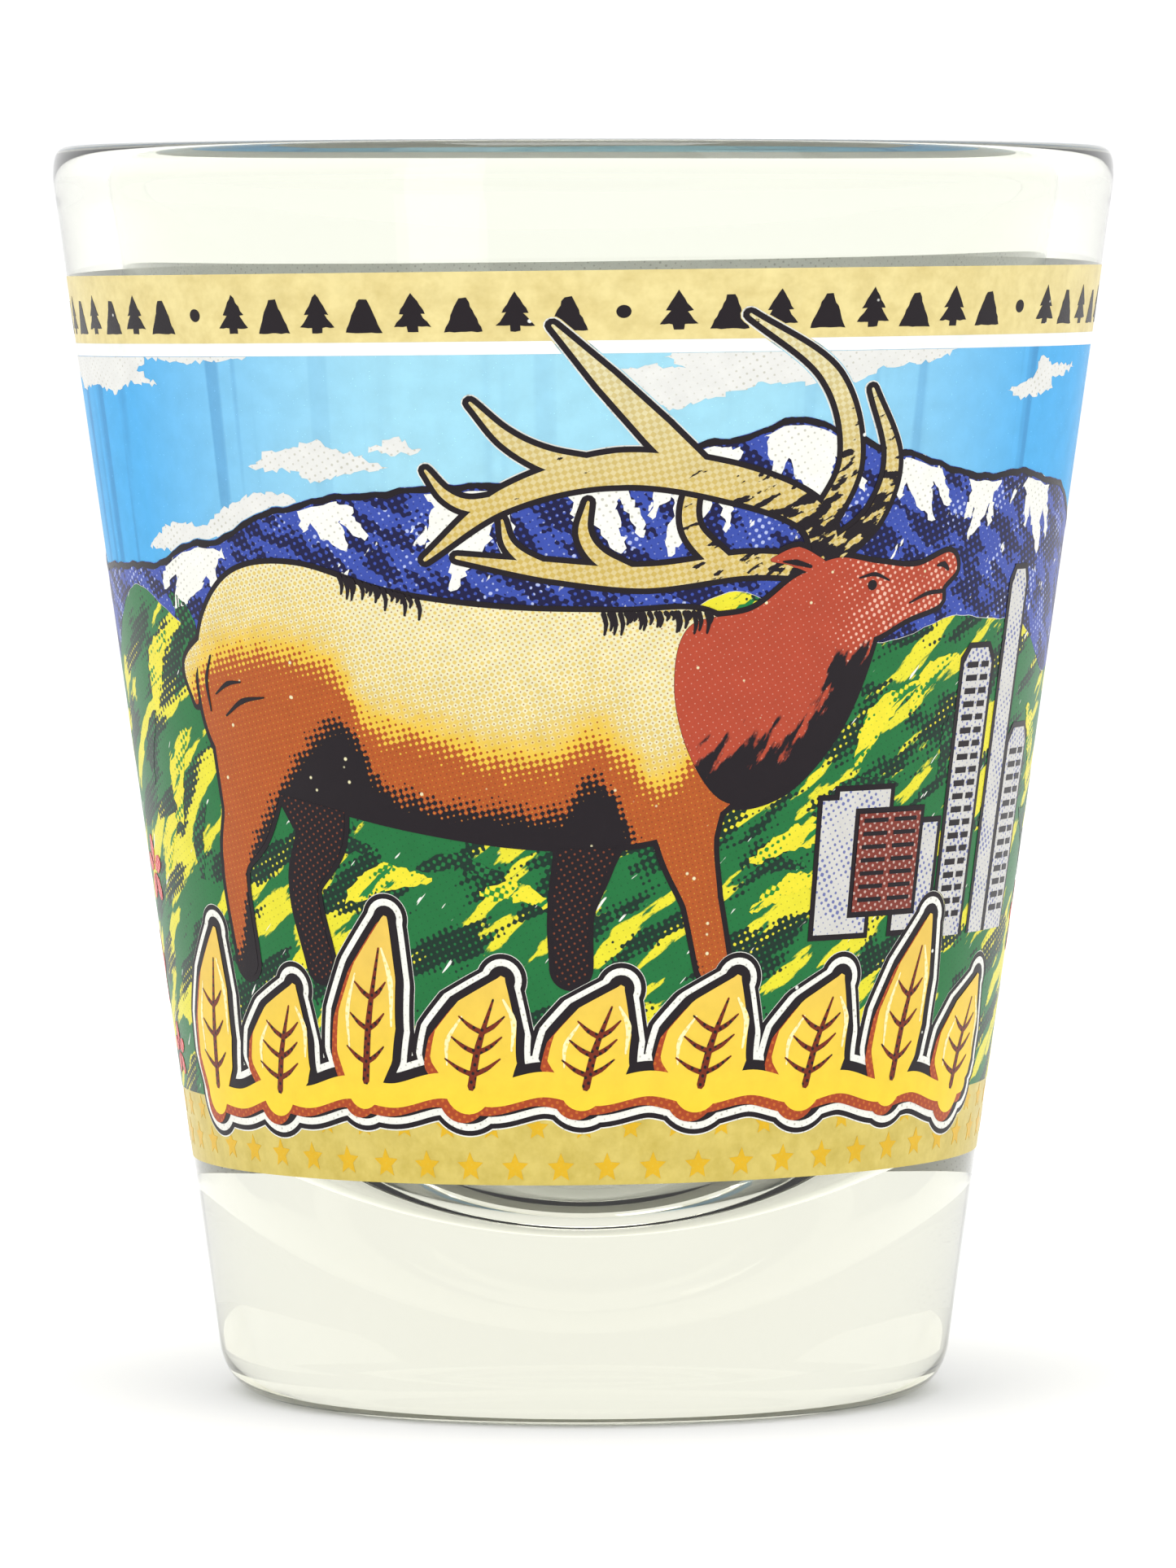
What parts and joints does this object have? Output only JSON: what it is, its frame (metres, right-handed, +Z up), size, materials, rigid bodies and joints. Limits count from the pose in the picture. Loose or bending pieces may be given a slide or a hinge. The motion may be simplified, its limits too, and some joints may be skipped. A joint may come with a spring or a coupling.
{
  "type": "shot glass",
  "caption": "Tapered shot glass with a thick clear base and a printed wrap of a mountain landscape with an elk, between two bands.",
  "frame": {"origin": "centre of the base, on the surface it stands on", "axes": "+Z up along the glass's axis; the middle of the picture faces -Y"},
  "size_m": [0.051, 0.051, 0.06],
  "materials": {
    "clear_glass": "clear pressed soda-lime glass, polished",
    "white_underbase": "opaque white ceramic ink, satin",
    "white_line_ink": "opaque white ceramic ink, satin",
    "sky_ink": "translucent light blue ink, glossy",
    "upper_band_ink": "tan gold ink, satin",
    "lower_band_ink": "tan gold ink, slightly translucent, satin",
    "cloud_ink": "off-white ink with a grey dot screen",
    "band_motif_ink": "black ink, satin",
    "star_ink": "ochre ink, satin",
    "mountain_ink": "blue ink with a dark dot screen",
    "snow_ink": "white ink, satin",
    "ridge_line_ink": "black ink, satin",
    "hill_ink": "green ink, satin",
    "meadow_ink": "yellow ink, satin",
    "hill_shade_ink": "dark green ink with a dot screen",
    "skyline_outline_ink": "black ink, satin",
    "skyline_ink": "pale grey ink, satin",
    "pine_ink": "dark green ink, satin",
    "blossom_ink": "red ink, satin",
    "brick_ink": "brick red ink, satin",
    "tower_window_ink": "black ink, satin",
    "brick_window_ink": "black ink, satin",
    "elk_outline_ink": "black ink, satin",
    "elk_coat_ink": "cream ink with a yellow dot screen",
    "elk_far_leg_ink": "dark brown ink, satin",
    "elk_mane_ink": "red-brown ink with a dot screen",
    "antler_ink": "straw ink with a dot screen",
    "elk_shade_ink": "orange-brown ink with a dot screen",
    "elk_dark_ink": "black ink, satin",
    "ornament_rim_ink": "black ink, satin",
    "ornament_white_ink": "white ink, satin",
    "ornament_outline_ink": "black ink, satin",
    "ornament_shadow_ink": "red-brown ink, satin",
    "ornament_face_ink": "golden yellow ink, satin",
    "ornament_vein_ink": "black ink, satin",
    "ornament_shine_ink": "pale highlight ink, satin"
  },
  "bodies": {
    "root": {"glass_body": "clear_glass", "white_underbase": "white_underbase", "white_line_ink": "white_line_ink", "sky_ink": "sky_ink", "upper_band_ink": "upper_band_ink", "lower_band_ink": "lower_band_ink", "cloud_ink": "cloud_ink", "band_motif_ink": "band_motif_ink", "star_ink": "star_ink", "mountain_ink": "mountain_ink", "snow_ink": "snow_ink", "ridge_line_ink": "ridge_line_ink", "hill_ink": "hill_ink", "meadow_ink": "meadow_ink", "hill_shade_ink": "hill_shade_ink", "skyline_outline_ink": "skyline_outline_ink", "skyline_ink": "skyline_ink", "pine_ink": "pine_ink", "blossom_ink": "blossom_ink", "brick_ink": "brick_ink", "tower_window_ink": "tower_window_ink", "brick_window_ink": "brick_window_ink", "elk_outline_ink": "elk_outline_ink", "elk_coat_ink": "elk_coat_ink", "elk_far_leg_ink": "elk_far_leg_ink", "elk_mane_ink": "elk_mane_ink", "antler_ink": "antler_ink", "elk_shade_ink": "elk_shade_ink", "elk_dark_ink": "elk_dark_ink", "ornament_rim_ink": "ornament_rim_ink", "ornament_white_ink": "ornament_white_ink", "ornament_outline_ink": "ornament_outline_ink", "ornament_shadow_ink": "ornament_shadow_ink", "ornament_face_ink": "ornament_face_ink", "ornament_vein_ink": "ornament_vein_ink", "ornament_shine_ink": "ornament_shine_ink"}
  },
  "joints": []
}
